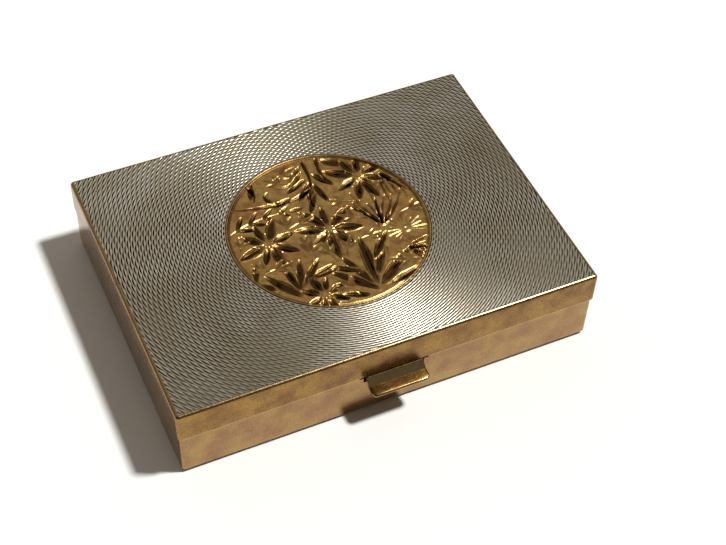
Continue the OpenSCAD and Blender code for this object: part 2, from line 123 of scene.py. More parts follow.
def refined(node, name, material, body, edge_mm):
    """A pressed or turned part after finishing: its curves run smooth and its sharp edges are broken."""
    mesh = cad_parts[node].data.copy()
    mesh.name = name
    bm = bmesh.new()
    bm.from_mesh(mesh)
    bmesh.ops.remove_doubles(bm, verts=bm.verts[:], dist=1e-7)
    bmesh.ops.dissolve_limit(bm, angle_limit=math.radians(0.5), verts=bm.verts[:], edges=bm.edges[:])
    bm.to_mesh(mesh)
    bm.free()
    for attribute in [a.name for a in mesh.attributes if a.name in ("custom_normal", "sharp_face")]:
        mesh.attributes.remove(mesh.attributes[attribute])
    mesh.materials.clear()
    mesh.materials.append(material)
    mesh.polygons.foreach_set("use_smooth", [True] * len(mesh.polygons))
    mesh.set_sharp_from_angle(angle=math.radians(34))
    made = bpy.data.objects.new(name, mesh)
    bpy.context.scene.collection.objects.link(made)
    if edge_mm:
        bevel = made.modifiers.new("broken_edges", "BEVEL")
        bevel.width = edge_mm * MM
        bevel.segments = 2
        bevel.limit_method = "ANGLE"
        bevel.angle_limit = math.radians(40)
        bevel.harden_normals = True
    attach(made, body)
    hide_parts(node)


def grid_faces(rows, columns, closed=False, start=0):
    """Squares between rows of points. A closed grid joins each row's end to its start."""
    step = np.arange(columns if closed else columns - 1)
    after = (step + 1) % columns
    row = (np.arange(rows - 1) * columns)[:, None] + start
    squares = np.stack([row + step, row + after, row + columns + after, row + columns + step], -1)
    return squares.reshape(-1, 4)


def grid_rim(rows, columns):
    """The numbers of a grid's outer points, once round."""
    last = rows * columns - 1
    ring = list(range(columns)) + [i * columns + columns - 1 for i in range(1, rows)]
    return ring + [last - i for i in range(1, columns)] + [i * columns for i in range(rows - 2, 0, -1)]


# ---------------------------------------------------------------- materials

def add(tree, kind, values=None, links=None, **settings):
    """Adds a node with its settings, its sockets' values and its links."""
    made = tree.nodes.new(kind)
    for key, value in settings.items():
        setattr(made, key, value)
    for key, value in (values or {}).items():
        made.inputs[key].default_value = value
    for key, source in (links or {}).items():
        tree.links.new(source, made.inputs[key])
    return made


def start(name, **values):
    """A new material: its tree, its shader and its place in millimetres."""
    made = bpy.data.materials.new(name)
    made.use_nodes = True
    tree = made.node_tree
    shader = tree.nodes["Principled BSDF"]
    for key, value in values.items():
        shader.inputs[key.replace("_", " ")].default_value = value
    place = add(tree, "ShaderNodeTexCoord").outputs["Object"]
    millimetres = add(tree, "ShaderNodeVectorMath", {1: (1000, 1000, 1000)}, {0: place},
                      operation="MULTIPLY").outputs[0]
    return made, tree, shader, millimetres


def patches(tree, place, size, stretch=(1, 1, 1), detail=4.0):
    """Soft noise whose patches are about size millimetres across."""
    moved = add(tree, "ShaderNodeMapping", {"Scale": tuple(s / size for s in stretch)},
                {"Vector": place}).outputs[0]
    return add(tree, "ShaderNodeTexNoise", {"Scale": 1.0, "Detail": detail, "Roughness": 0.55},
               {"Vector": moved}).outputs["Fac"]


def spread(tree, source, low, high, to_low=0.0, to_high=1.0):
    """Stretches a value from one range to another."""
    return add(tree, "ShaderNodeMapRange",
               {"From Min": low, "From Max": high, "To Min": to_low, "To Max": to_high},
               {"Value": source}).outputs[0]


def blend_colour(tree, share, under, over):
    """Mixes two colours, each a hex value or a socket, by a share."""
    made = add(tree, "ShaderNodeMix", data_type="RGBA")
    tree.links.new(share, made.inputs[0])
    for socket, colour in ((6, under), (7, over)):
        if isinstance(colour, str):
            made.inputs[socket].default_value = linear(colour)
        else:
            tree.links.new(colour, made.inputs[socket])
    return made.outputs[2]


def bump(tree, shader, height, distance_mm):
    """Fine relief on a shader's normal."""
    made = add(tree, "ShaderNodeBump", {"Strength": 1.0, "Distance": distance_mm * MM}, {"Height": height})
    tree.links.new(made.outputs[0], shader.inputs["Normal"])


def gilt(name, clean, patch, stain, rough, patch_mm, grain_mm, brush=(1, 1, 1), relief=0.004,
         stains=0.5, speckle=0.16, fade=None):
    """Thin gilding on brass: the clean colour, softly mottled patches and brown stains. A fade
    carries it into another colour along one axis: gilding worn pale, tarnish in a recess, or painted
    light, such as a painted highlight line along an edge or a slope painted lighter."""
    made, tree, shader, place = start(name, Metallic=1.0)
    mottle = spread(tree, patches(tree, place, patch_mm), 0.35, 0.65)
    grain = spread(tree, patches(tree, place, grain_mm, brush, 3.0), 0.3, 0.7)
    stained = spread(tree, patches(tree, place, patch_mm * 0.45, detail=6.0), 0.6, 0.8, 0, stains)
    colour = blend_colour(tree, mottle, clean, patch)
    colour = blend_colour(tree, stained, colour, stain)
    if fade:
        axis, begin, end, other = fade
        along = add(tree, "ShaderNodeSeparateXYZ", links={0: place}).outputs[axis]
        colour = blend_colour(tree, spread(tree, along, begin, end), colour, other)
    fine = add(tree, "ShaderNodeMix", {0: speckle}, data_type="RGBA", blend_type="MULTIPLY")
    tree.links.new(colour, fine.inputs[6])
    tree.links.new(add(tree, "ShaderNodeCombineColor",
                       links={"Red": grain, "Green": grain, "Blue": grain}).outputs[0], fine.inputs[7])
    tree.links.new(fine.outputs[2], shader.inputs["Base Color"])
    tree.links.new(spread(tree, grain, 0, 1, *rough), shader.inputs["Roughness"])
    bump(tree, shader, grain, relief)
    return made


def engraved_silver(low, high):
    """Silver plate cut by a rose engine: bright crowns, cuts holding black tarnish, a dull yellowish
    bloom over the whole plate, and rubbed places where the cuts show less."""
    made, tree, shader, place = start("tarnished_engraved_silver", Metallic=1.0)
    height = add(tree, "ShaderNodeSeparateXYZ", links={0: place}).outputs[2]
    crown = spread(tree, height, low / MM + CROWN_DARK, high / MM - CROWN_CLEAN)
    bloom = spread(tree, patches(tree, place, 14.0, detail=5.0), 0.36, 0.66)
    cloud = spread(tree, patches(tree, place, 4.0, detail=6.0), 0.4, 0.72)
    speck = spread(tree, patches(tree, place, 0.5, detail=2.0), 0.66, 0.76)
    bright = blend_colour(tree, bloom, "#DCD8CC", "#BDB59C")
    bright = blend_colour(tree, cloud, bright, "#C4BAA6")
    bright = blend_colour(tree, speck, bright, "#5A5040")
    shade = blend_colour(tree, crown, "#0C0A06", bright)
    rubbed = spread(tree, patches(tree, place, 20.0, detail=3.0), 0.48, 0.72, 0, 0.5)
    shade = blend_colour(tree, rubbed, shade, "#8F8978")
    tree.links.new(shade, shader.inputs["Base Color"])
    tree.links.new(spread(tree, crown, 0, 1, 0.5, 0.3), shader.inputs["Roughness"])
    bump(tree, shader, patches(tree, place, 0.08, detail=2.0), 0.002)
    return made


def cut_gold(low, high):
    """Gold-plated disc with hand-cut relief: polished cuts, satin ground, brown tarnish in the
    hollows."""
    made, tree, shader, place = start("bright_cut_gold", Metallic=1.0)
    height = add(tree, "ShaderNodeSeparateXYZ", links={0: place}).outputs[2]
    raised = spread(tree, height, low / MM, high / MM)
    warm = spread(tree, patches(tree, place, 5.0, detail=5.0), 0.38, 0.64)
    cloud = spread(tree, patches(tree, place, 1.3, detail=6.0), 0.42, 0.7, 0, 0.75)
    gold = blend_colour(tree, warm, "#C0A060", "#AE8452")
    gold = blend_colour(tree, cloud, gold, "#7A613C")
    colour = blend_colour(tree, raised, "#463118", gold)
    tree.links.new(colour, shader.inputs["Base Color"])
    satin = patches(tree, place, 0.24, (1, 0.4, 1), 3.0)
    tree.links.new(spread(tree, raised, 0, 1, 0.38, 0.31), shader.inputs["Roughness"])
    bump(tree, shader, satin, 0.03)
    return made


def mirror():
    """Silvered mirror glass, with faint foxing where the silvering has aged."""
    made, tree, shader, place = start("silvered_mirror_glass", Metallic=1.0)
    fox = spread(tree, patches(tree, place, 1.6, detail=6.0), 0.66, 0.8)
    tree.links.new(blend_colour(tree, fox, "#DFE3E0", "#8D8677"), shader.inputs["Base Color"])
    tree.links.new(spread(tree, fox, 0, 1, 0.02, 0.3), shader.inputs["Roughness"])
    return made


def cloth(name, colour, shadow, sheen, thread_mm, rough, slant=(1, 1, 1)):
    """Woven or napped cloth: thread-scale relief and colour, with a soft sheen at grazing light.
    Its threads are coarser than real ones, so that they still show."""
    made, tree, shader, place = start(name, Metallic=0.0, Sheen_Weight=sheen, Sheen_Roughness=0.4)
    thread = spread(tree, patches(tree, place, thread_mm, slant, 3.0), 0.3, 0.7)
    soft = spread(tree, patches(tree, place, 5.0), 0.35, 0.65)
    tone = add(tree, "ShaderNodeMath", {1: 0.5}, {0: soft, 2: thread}, operation="MULTIPLY_ADD").outputs[0]
    tree.links.new(blend_colour(tree, spread(tree, tone, 0, 1.5), shadow, colour),
                   shader.inputs["Base Color"])
    tree.links.new(spread(tree, thread, 0, 1, rough + 0.1, rough - 0.08), shader.inputs["Roughness"])
    bump(tree, shader, thread, thread_mm * 0.35)
    return made


def powder():
    """Loose face powder: matt, fine-grained, slightly uneven in tint. The grain is coarser than real."""
    made, tree, shader, place = start("pressed_face_powder", Metallic=0.0)
    grain = patches(tree, place, 0.15, detail=3.0)
    tint = spread(tree, patches(tree, place, 4.0), 0.35, 0.65)
    tree.links.new(blend_colour(tree, tint, "#D9AE8C", "#E6C4A4"), shader.inputs["Base Color"])
    tree.links.new(spread(tree, grain, 0.3, 0.7, 0.85, 0.98), shader.inputs["Roughness"])
    bump(tree, shader, grain, 0.05)
    return made


def white_paper():
    """Plain white paper under the object, with a barely seen tooth, coarser than real."""
    made, tree, shader, place = start("white_paper", Metallic=0.0, Roughness=0.9)
    tooth = patches(tree, place, 0.4, detail=3.0)
    tree.links.new(blend_colour(tree, tooth, "#F1F1EF", "#F7F7F6"), shader.inputs["Base Color"])
    bump(tree, shader, tooth, 0.02)
    return made


# ---------------------------------------------------------------- the engraved plate

def engraved_plate():
    """The silver plate, cut as a field of wavy rings and trimmed to its outline."""
    low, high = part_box("lid_panel")
    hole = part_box("medallion")[1].x + DISC_GAP * MM
    reach = math.hypot(high.x, high.y) + CUT_PITCH * MM
    columns = CUT_WAVES * STEPS_PER_WAVE
    angle = np.arange(columns) * 2 * math.pi / columns
    wave = np.cos(CUT_WAVES * angle)
    rings = [(np.full(columns, hole), np.full(columns, high.z))]
    for k in range(int((reach - hole) / (CUT_PITCH * MM))):
        side = 1 if k % 2 else -1
        for across in RING_SHARES:
            swing = CUT_SWING * side * wave * (1 - 2 * across)
            radius = hole + (FIRST_CUT + (k + across) * CUT_PITCH + swing) * MM
            turned = side if across < 0.5 else -side
            swell = (0.5 + 0.5 * turned * wave) ** CUT_SWELL
            deep = CUT_DEPTH * (CUT_SHALLOW + (1 - CUT_SHALLOW) * swell)
            drop = deep if abs(across - 0.5) > CROWN_REACH else np.zeros(columns)
            rings.append((radius, high.z - drop * MM))
    radius = np.array([r for r, _ in rings])
    heights = np.array([z for _, z in rings])
    points = np.stack([radius * np.cos(angle), radius * np.sin(angle), heights], -1).reshape(-1, 3)
    faces = grid_faces(len(rings), columns, closed=True)
    inside = (np.abs(points[:, 0]) < high.x) & (np.abs(points[:, 1]) < high.y)
    faces = faces[inside[faces].any(1)]
    used = np.unique(faces)
    renumber = np.zeros(len(points), int)
    renumber[used] = np.arange(len(used))
    silver = engraved_silver(high.z - CUT_DEPTH * MM, high.z)
    made = piece("engraved_plate", points[used], renumber[faces], None, silver)
    bm = bmesh.new()
    bm.from_mesh(made.data)
    for side in (Vector((1, 0, 0)), Vector((-1, 0, 0)), Vector((0, 1, 0)), Vector((0, -1, 0))):
        reach = high.x if side.x else high.y
        bmesh.ops.bisect_plane(bm, geom=bm.verts[:] + bm.edges[:] + bm.faces[:], dist=1e-7,
                               plane_co=side * reach, plane_no=side, clear_outer=True)
    rim = [e for e in bm.edges if e.is_boundary]
    wall = bmesh.ops.extrude_edge_only(bm, edges=rim)["geom"]
    for edge in rim:
        edge.smooth = False
    for vert in (g for g in wall if isinstance(g, bmesh.types.BMVert)):
        vert.co.z = low.z
    foot = [e for e in bm.edges if e.is_boundary]
    bmesh.ops.triangle_fill(bm, edges=foot, use_beauty=False)
    bmesh.ops.recalc_face_normals(bm, faces=bm.faces[:])
    for face in bm.faces:
        face.smooth = abs(face.normal.z) > 0.3
    bm.to_mesh(made.data)
    bm.free()
    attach(made, "lid")
    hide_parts("lid_panel")


# ---------------------------------------------------------------- the floral disc

class Relief:
    """A field of heights over the disc, cut and raised in millimetres."""

    def __init__(self, x, y):
        self.x, self.y, self.h = x, y, np.zeros_like(x)

    def near(self, x, y, reach):
        """The numbers of the field's points inside a square round a place."""
        return np.nonzero((np.abs(self.x - x) < reach) & (np.abs(self.y - y) < reach))[0]

    def leaf(self, x, y, turn, length, width, depth=LEAF_DEPTH, lean=0.5, rim=0.055):
        """A pointed scoop with fine lines in it and a raised edge, deeper on one side."""
        at = self.near(x, y, length + width)
        c, s = math.cos(math.radians(turn)), math.sin(math.radians(turn))
        dx, dy = self.x[at] - x, self.y[at] - y
        along = (dx * c + dy * s) / length
        off = dy * c - dx * s
        along_in = np.clip(along, 0.001, 0.999)
        half = width / 2 * np.sin(math.pi * along_in ** 0.85) ** 0.75
        ratio = off / half
        on = ((along > 0) & (along < 1)) * 1.0
        inside = on * np.clip((1 - np.abs(ratio)) * 6, 0, 1)
        scoop = -depth * (1 - ratio ** 2) * np.sin(math.pi * along_in) ** 0.4 + lean * depth * ratio * 0.5
        lines = 0.12 * depth * np.cos(2 * math.pi * off / HATCH)
        edge = rim * on * np.exp(-((np.abs(off) - half) / 0.13) ** 2)
        self.h[at] = self.h[at] * (1 - inside) + (scoop + lines) * inside + edge

    def stroke(self, path, wide, depth, burr):
        """A graver's cut along a curved path of three points, swelling and then running out thin."""
        (ax, ay), (bx, by), (cx, cy) = path
        t = np.linspace(0, 1, 15)
        px = (1 - t) ** 2 * ax + 2 * t * (1 - t) * bx + t ** 2 * cx
        py = (1 - t) ** 2 * ay + 2 * t * (1 - t) * by + t ** 2 * cy
        reach = max(np.ptp(px), np.ptp(py)) / 2 + wide + 0.4
        at = self.near((px.max() + px.min()) / 2, (py.max() + py.min()) / 2, reach)
        x, y = self.x[at][:, None], self.y[at][:, None]
        dx, dy = np.diff(px), np.diff(py)
        share = np.clip(((x - px[:-1]) * dx + (y - py[:-1]) * dy) / (dx * dx + dy * dy), 0, 1)
        gaps = np.hypot(x - px[:-1] - share * dx, y - py[:-1] - share * dy)
        which = gaps.argmin(1)
        row = np.arange(len(at))
        gap, along = gaps[row, which], (which + share[row, which]) / len(dx)
        half = wide / 2 * np.clip(1.2 - along, 0.15, 1) * np.clip(along * 6 + 0.3, 0, 1)
        cut = -depth * np.clip(1 - gap / half, 0, 1)
        self.h[at] += cut + burr * np.exp(-((gap - half - 0.05) / 0.2) ** 2) * (half / (wide / 2))

    def bead(self, x, y, radius, height):
        """A round drop, or a dent if its height is negative."""
        at = self.near(x, y, radius)
        gap = np.hypot(self.x[at] - x, self.y[at] - y) / radius
        self.h[at] += height * np.sqrt(np.clip(1 - gap ** 2, 0, 1))

    def flower(self, x, y, petals, length, width, turn):
        """An open blossom: scooped petals, stamens between them, and a beaded eye."""
        for k in range(petals):
            a = turn + k * 360 / petals
            c, s = math.cos(math.radians(a)), math.sin(math.radians(a))
            grow = 1 + 0.16 * math.sin(2.3 * k + turn)
            self.leaf(x + 0.8 * c, y + 0.8 * s, a + 7 * math.sin(1.7 * k), length * grow, width * grow,
                      lean=0.9 * math.cos(k * 1.9 + turn), rim=0.08)
        for k in range(petals):
            a = math.radians(turn + (k + 0.5) * 360 / petals)
            tip = (x + 2.5 * math.cos(a), y + 2.5 * math.sin(a))
            bend = (x + 1.3 * math.cos(a + 0.25), y + 1.3 * math.sin(a + 0.25))
            self.stroke(((x + 0.5 * math.cos(a), y + 0.5 * math.sin(a)), bend, tip), 0.3, 0.12, 0.09)
            self.bead(tip[0], tip[1], 0.26, 0.09)
        for k in range(7):
            a = k * 2 * math.pi / 6
            out = 0.45 if k < 6 else 0
            self.bead(x + out * math.cos(a), y + out * math.sin(a), 0.27, 0.12)

    def daisy(self, x, y, inner, outer, strokes, turn):
        """A round eye inside a fan of fine cuts."""
        for k in range(strokes):
            a = math.radians(turn + k * 360 / strokes)
            c, s = math.cos(a), math.sin(a)
            far = outer * (0.86 + 0.14 * math.sin(k * 2.1))
            self.stroke(((x + far * c, y + far * s), (x + far * 0.6 * c, y + far * 0.6 * s),
                         (x + inner * c, y + inner * s)), 0.42, 0.14, 0.03)
        self.bead(x, y, inner * 0.8, 0.16)
        self.bead(x, y, inner * 0.35, -0.12)

    def spray(self, path, leaves, length, width, spread_angle):
        """Leaves in pairs along a curved stem, smaller towards its tip."""
        (ax, ay), (bx, by), (cx, cy) = path
        for k in range(leaves):
            t = (k + 0.6) / (leaves + 0.2)
            x = (1 - t) ** 2 * ax + 2 * t * (1 - t) * bx + t ** 2 * cx
            y = (1 - t) ** 2 * ay + 2 * t * (1 - t) * by + t ** 2 * cy
            ahead = math.degrees(math.atan2((1 - t) * (by - ay) + t * (cy - by),
                                            (1 - t) * (bx - ax) + t * (cx - bx)))
            size = 1.1 - 0.45 * t
            for side in (-1, 1):
                self.leaf(x, y, ahead + side * spread_angle * (1.1 - 0.3 * t), length * size, width * size,
                          lean=0.8 * side)
        self.leaf(cx, cy, ahead, length * 0.8, width * 0.8)
        self.stroke(path, 0.4, 0.15, 0.06)

    def sprig(self, x, y, turn, size):
        """A short stem with a leaflet at its tip and one to each side."""
        for side in (-38, 0, 38):
            self.leaf(x, y, turn + side, size * (1 if side else 1.3), size * 0.36, 0.13, rim=0.02)
        c, s = math.cos(math.radians(turn)), math.sin(math.radians(turn))
        self.stroke(((x, y), (x - 0.5 * size * c, y - 0.6 * size * s), (x - size * c + 0.5, y - size * s)),
                    0.4, 0.14, 0.04)

    def tuft(self, x, y, turn, sweep, blades, length):
        """Long grassy blades that fan out from one place."""
        for k in range(blades):
            a = math.radians(turn + (k / max(blades - 1, 1) - 0.5) * sweep)
            bend = a - 0.3 * math.sin(k * 1.3 + 1)
            far = length * (0.75 + 0.25 * math.sin(k * 2.7 + 0.6))
            self.stroke(((x, y), (x + 0.55 * far * math.cos(bend), y + 0.55 * far * math.sin(bend)),
                         (x + far * math.cos(a), y + far * math.sin(a))), 0.75, 0.3, 0.09)


def draw_garden(relief):
    """A garden of sprays, blossoms, scrolls and grasses that fills the disc."""
    # a branching spray of long leaves from the lower edge
    for x, y, turn, length, width in (
            (2.4, -14.8, 134, 9.6, 1.7), (2.2, -13.4, 112, 8.0, 1.5), (2.5, -13.6, 84, 10.2, 2.3),
            (3.2, -12.0, 63, 9.6, 2.0), (3.0, -14.0, 36, 9.4, 2.4), (4.4, -14.2, 14, 7.0, 1.5),
            (4.2, -8.6, 48, 6.4, 1.6), (1.4, -10.2, 150, 5.4, 1.4), (0.6, -15.2, 158, 4.6, 1.3)):
        relief.leaf(x, y, turn, length, width, lean=0.8 * math.sin(turn))
    # leaves beside the lower blossom, and up the left edge
    for x, y, turn, length, width in (
            (-9.2, -11.6, 124, 7.6, 1.9), (-9.0, -10.6, 100, 6.8, 1.4), (-8.8, -10.2, 72, 6.4, 1.5),
            (-8.4, -9.8, 46, 6.6, 1.4), (-7.8, -9.4, 22, 6.0, 1.5), (-12.4, -8.8, 140, 3.4, 1.2),
            (-6.4, -8.6, 4, 4.6, 1.2), (-13.6, -2.6, 250, 4.4, 1.3)):
        relief.leaf(x, y, turn, length, width, lean=0.8 * math.cos(turn))
    # a frond that hangs from the upper edge
    for x, y, turn, length, width in (
            (1.2, 10.4, 252, 6.4, 1.7), (1.4, 10.8, 226, 5.2, 1.4), (1.3, 10.0, 282, 5.0, 1.3),
            (0.8, 11.4, 205, 4.8, 1.3), (2.0, 12.2, 306, 4.6, 1.5), (1.0, 8.2, 240, 5.0, 1.2),
            (4.4, 14.6, 330, 5.2, 2.2), (-3.0, 8.4, 196, 4.0, 1.3), (-8.0, 14.0, 250, 4.0, 1.3)):
        relief.leaf(x, y, turn, length, width, lean=0.8 * math.sin(turn * 2))
    for curl in (((1.6, 15.6), (1.8, 11.4), (0.8, 9.4)), ((0.8, 9.4), (-3.4, 6.6), (-6.4, 8.6)),
                 ((-6.4, 8.6), (-7.8, 10.4), (-6.0, 11.0)), ((0.6, 13.0), (-2.6, 9.6), (-5.0, 11.8)),
                 ((0.8, 14.4), (-1.6, 11.8), (-3.2, 13.2)), ((4.2, 15.4), (3.2, 12.4), (3.8, 10.2)),
                 ((-5.2, 8.0), (-10.0, 8.0), (-13.4, 9.6)),
                 ((-9.0, 13.4), (-7.8, 11.6), (-9.0, 9.8))):
        relief.stroke(curl, 0.95, 0.3, 0.1)
    relief.spray(((-15.2, 4.4), (-10.8, 6.4), (-4.6, 5.8)), 4, 3.3, 0.95, 34)
    # grasses, and the small blossoms' stems
    relief.tuft(8.4, -2.4, 88, 84, 11, 9.4)
    relief.tuft(12.6, 8.0, -72, 50, 7, 7.4)
    relief.tuft(-12.6, 10.4, 150, 80, 6, 4.4)
    relief.tuft(10.2, -8.6, -24, 76, 8, 5.4)
    for stem in (((5.6, 1.0), (9.2, -1.0), (6.4, -9.0)), ((7.6, 5.6), (6.0, 2.0), (8.6, -2.4)),
                 ((-0.2, 5.0), (-0.6, 7.0), (0.8, 9.4)), ((-9.0, -3.0), (-8.0, -6.0), (-9.0, -10.0))):
        relief.stroke(stem, 0.5, 0.18, 0.08)
    relief.flower(-6.0, -12.6, 8, 3.4, 1.4, 15)
    relief.flower(9.0, 8.8, 8, 4.6, 1.8, 20)
    relief.flower(-10.2, 0.4, 8, 4.4, 1.7, 12)
    relief.flower(0.0, -0.2, 8, 5.0, 1.9, 34)
    relief.daisy(11.4, -4.8, 0.9, 3.6, 20, 10)
    # small sprigs grow wherever the ground is still plain
    for k in range(SPRIGS):
        out = 15.0 * math.sqrt((k + 0.5) / SPRIGS)
        turn = k * math.pi * (3 - math.sqrt(5))
        x, y = out * math.cos(turn), out * math.sin(turn)
        if np.abs(relief.h[relief.near(x, y, 0.55)]).max() < 0.08:
            relief.sprig(x, y, 80 + 80 * math.sin(k * 1.9), 2.5 + 0.5 * math.sin(k * 2.7))


def floral_disc():
    """The medallion: a round grid raised and cut by the garden's relief, inside a beaded rim."""
    low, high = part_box("medallion")
    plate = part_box("lid_panel")[1].z
    disc = high.x / MM
    side = np.linspace(-1, 1, DISC_STEPS + 1)
    a, b = np.meshgrid(side, side)
    far = np.maximum(np.abs(a), np.abs(b))
    wide = np.abs(a) >= np.abs(b)
    turn = np.where(wide, b / np.where(a == 0, 1, a), a / np.where(b == 0, 1, b)) * math.pi / 4
    x = np.where(wide, a * np.cos(turn), b * np.sin(turn)) * disc
    y = np.where(wide, a * np.sin(turn), b * np.cos(turn)) * disc
    relief = Relief(x.ravel(), y.ravel())
    draw_garden(relief)
    radius = far.ravel() * disc
    edge = disc - BEAD_WIDTH
    hand = np.array([noise.noise(Vector((u * 0.8, v * 0.8, 3.0))) for u, v in zip(relief.x, relief.y)])
    field = np.clip(relief.h + GROUND_WAVER * hand, RELIEF_LOW, RELIEF_HIGH).reshape(x.shape)
    field = (np.roll(field, 1, 0) + 2 * field + np.roll(field, -1, 0)) / 4
    field = ((np.roll(field, 1, 1) + 2 * field + np.roll(field, -1, 1)) / 4).ravel()
    groove = RIM_GROOVE * np.exp(-((radius - edge + RIM_GROOVE / 2) / RIM_GROOVE) ** 2)
    field = field * np.clip((edge - radius) / RIM_FADE, 0, 1) - groove
    bead = np.sqrt(np.clip(1 - ((radius - edge) / BEAD_WIDTH * 2 - 1) ** 2, 0, 1))
    top = (high.z - plate) / MM + GROUND_DROP
    field = np.where(radius > edge, bead * top - 0.02, field)
    z = plate - GROUND_DROP * MM + field * MM
    points = np.stack([relief.x * MM, relief.y * MM, np.minimum(z, high.z)], -1)
    n = DISC_STEPS + 1
    faces = grid_faces(n, n).tolist()
    ring = grid_rim(n, n)
    foot = len(points)
    points = np.vstack([points, [(points[i][0], points[i][1], low.z) for i in ring]])
    count = len(ring)
    faces += [(ring[k], foot + k, foot + (k + 1) % count, ring[(k + 1) % count]) for k in range(count)]
    faces.append([foot + k for k in range(count)][::-1])
    gold = cut_gold(plate - HOLLOW_DARK * MM, plate - HOLLOW_CLEAN * MM)
    piece("floral_disc", points, faces, "lid", gold, ["medallion"], "medallion_gilt")


# ---------------------------------------------------------------- shapes with rounded outlines

def rounded_grid(low, high, corner, columns, rows):
    """Places of a grid that fills a rectangle with rounded corners, and how near each is to the edge."""
    half = Vector(((high.x - low.x) / 2, (high.y - low.y) / 2))
    u, v = np.meshgrid(np.linspace(-1, 1, columns), np.linspace(-1, 1, rows))
    x, y = u * half.x, v * half.y
    p = np.clip((np.abs(x) - half.x + corner) / corner, 0, 1)
    q = np.clip((np.abs(y) - half.y + corner) / corner, 0, 1)
    x = np.where(p > 0, np.sign(x) * (half.x - corner + corner * p * np.sqrt(1 - q * q / 2)), x)
    y = np.where(q > 0, np.sign(y) * (half.y - corner + corner * q * np.sqrt(1 - p * p / 2)), y)
    edge = np.maximum(np.abs(u), np.abs(v))
    middle = (low + high) / 2
    return (x + middle.x).ravel(), (y + middle.y).ravel(), edge.ravel()


def closed_slab(top, bottom, columns, rows):
    """Points and faces of a slab between two grids that share an outline."""
    count = columns * rows
    faces = grid_faces(rows, columns).tolist()
    faces += [f[::-1] for f in grid_faces(rows, columns, start=count).tolist()]
    ring = grid_rim(rows, columns)
    faces += [(ring[k], count + ring[k], count + ring[(k + 1) % len(ring)], ring[(k + 1) % len(ring)])
              for k in range(len(ring))]
    return np.vstack([top, bottom]), faces


def wavy(x, y, size, seed):
    """Soft unevenness between -1 and 1, its bumps about size millimetres across."""
    return np.array([noise.noise(Vector((u / (size * MM), v / (size * MM), seed))) for u, v in zip(x, y)])


# ---------------------------------------------------------------- thumb tab

def thumb_tab():
    """The pressed tab: it slopes out of the slot, creases, runs level and ends in a rounded lip."""
    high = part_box("thumb_tab")[1]
    profile = ((0.0, 0.0), (1.45, 0.0), (1.7, -0.06), (2.0, -0.42), (2.4, -0.84), (2.72, -1.16),
               (3.3, -1.17), (3.9, -1.18), (4.25, -1.19), (4.42, -1.22), (4.55, -1.3), (4.63, -1.42),
               (4.65, -1.55), (4.6, -1.7), (4.5, -1.79), (4.2, -1.85), (3.2, -1.78), (2.4, -1.6),
               (1.9, -1.0), (1.55, -0.5), (1.3, -0.45), (0.0, -0.45))
    square, rounding = 0.88, 0.12   # shares of the half width: straight, then the corner's curve
    lip_from, lip_length = 3.2, 1.45  # mm from the root: where the corner's curve starts, and its reach
    corner_back, corner_drop = 0.75, 0.06  # mm that a corner is drawn back, and its upper edge lowered
    half = high.x / MM
    stations = [half * s for s in (-1, -0.985, -0.95, -0.88, -0.6, -0.2, 0.2, 0.6, 0.88, 0.95, 0.985, 1)]
    points = []
    for x in stations:
        end = max(0.0, abs(x) / half - square) / rounding
        pull = 1.0 - math.sqrt(max(0.0, 1 - end ** 2))
        for out, down in profile:
            back = corner_back * pull * max(0.0, (out - lip_from) / lip_length)
            drop = -corner_drop * pull * (down > -1.2)
            points.append((x * MM, high.y - (out - back) * MM, high.z + (down + drop) * MM))
    count = len(profile)
    faces = [f[::-1] for f in grid_faces(len(stations), count, closed=True).tolist()]
    faces += [list(range(count)), [len(points) - 1 - k for k in range(count)]]
    made = piece("thumb_tab_pressed", points, faces, "catch", TAB_GILT, ["thumb_tab"], "gilt_case")
    made.data.set_sharp_from_angle(angle=math.radians(30))
    bevel = made.modifiers.new("soft_edges", "BEVEL")
    bevel.width = 0.06 * MM
    bevel.segments = 3
    bevel.limit_method = "ANGLE"
    bevel.angle_limit = math.radians(50)


# ---------------------------------------------------------------- powder, net and puff

def powder_cake():
    """The powder in its well, its top dented by use."""
    low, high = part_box("powder_fill")
    columns, rows = 150, 100
    x, y, edge = rounded_grid(low, high, 2.4 * MM, columns, rows)
    dent = 0.22 * wavy(x, y, 9, 1) + 0.1 * wavy(x, y, 2.2, 5) + 0.05 * wavy(x, y, 0.8, 9)
    top = high.z - (0.32 - dent + 0.25 * edge ** 8) * MM
    slab = closed_slab(np.stack([x, y, np.minimum(top, high.z)], -1),
                       np.stack([x, y, np.full_like(x, low.z)], -1), columns, rows)
    piece("powder_cake", *slab, "base", powder(), ["powder_fill"], "powder")


